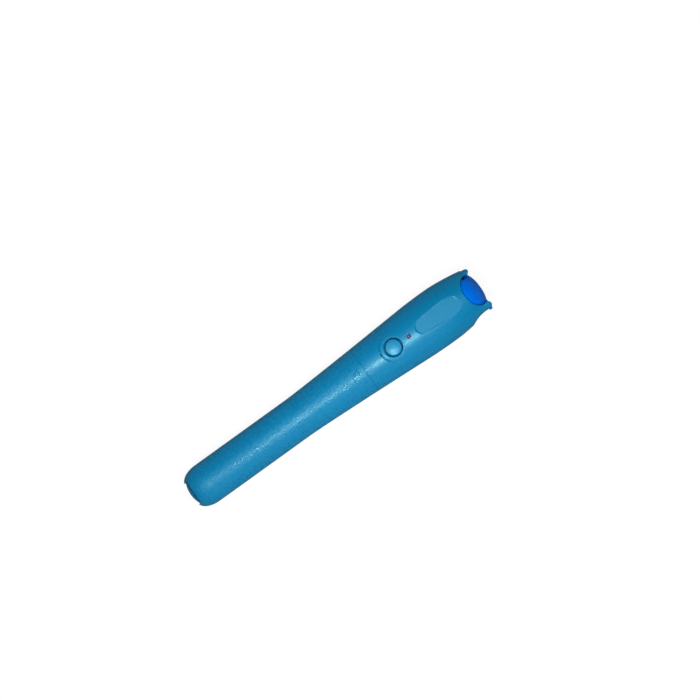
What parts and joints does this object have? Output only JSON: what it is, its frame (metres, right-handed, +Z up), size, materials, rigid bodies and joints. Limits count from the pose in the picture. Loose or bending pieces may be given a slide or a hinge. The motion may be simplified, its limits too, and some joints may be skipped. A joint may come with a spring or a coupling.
{
  "type": "visual fault locator pen",
  "caption": "Pen-shaped fibre fault finder with a push button, a sliding battery cover and a hinged rubber cap over its ferrule port.",
  "frame": {"origin": "mouth of the ferrule sleeve, on the pen's axis", "axes": "+X out of the ferrule port along the pen, +Z up through the button, +Y towards the cap's hinge"},
  "size_m": [0.2067, 0.0342, 0.0337],
  "materials": {
    "body_plastic": "satin moulded",
    "cap_rubber": "smooth moulded",
    "screw_steel": "zinc plated",
    "label_film": "printed film",
    "black_plastic": "moulded",
    "board_laminate": "solder mask",
    "component_body": "ceramic and tin",
    "red_lens": "tinted",
    "gilt_metal": "gilt",
    "barrel_brass": "turned",
    "clear_glass": "polished",
    "black_metal": "anodised",
    "plated_steel": "zinc plated",
    "nickel_plate": "nickel plated",
    "zirconia": "polished",
    "contact_steel": "nickel plated",
    "cell_case": "foil sleeve"
  },
  "bodies": {
    "housing": {"bottom_shell": "body_plastic", "top_shell": "body_plastic", "housing_screws": "screw_steel", "rating_label": "label_film", "cap_anchor": "cap_rubber", "tact_switch": "black_plastic", "circuit_board": "board_laminate", "driver_chip": "black_plastic", "board_passives": "component_body", "indicator_led": "red_lens", "laser_diode": "gilt_metal", "laser_barrel": "barrel_brass", "focus_lens": "clear_glass", "lens_ring": "black_metal", "barrel_nut": "plated_steel", "ferrule_adapter": "nickel_plate", "split_sleeve": "zirconia", "front_contact": "contact_steel", "rear_contact": "contact_steel", "battery_spring": "contact_steel", "return_strip": "contact_steel", "front_cell": "cell_case", "rear_cell": "cell_case"},
    "cap": {"dust_cap": "cap_rubber"},
    "button": {"power_button": "body_plastic", "switch_plunger": "black_plastic"},
    "cover": {"battery_cover": "body_plastic"}
  },
  "joints": [
    {"name": "cap_hinge", "type": "hinge", "parent": "housing", "child": "cap", "pos_m": [0.00293, 0.01175, 0], "axis": [0, 0, 1], "range_deg": [0, 150]},
    {"name": "power_button", "type": "slide", "parent": "housing", "child": "button", "axis": [0, 0, -1], "range_m": [0, 0.0008], "stiffness_N_per_m": 800},
    {"name": "battery_cover", "type": "slide", "parent": "housing", "child": "cover", "axis": [-1, 0, 0], "range_m": [0, 0.13]}
  ]
}
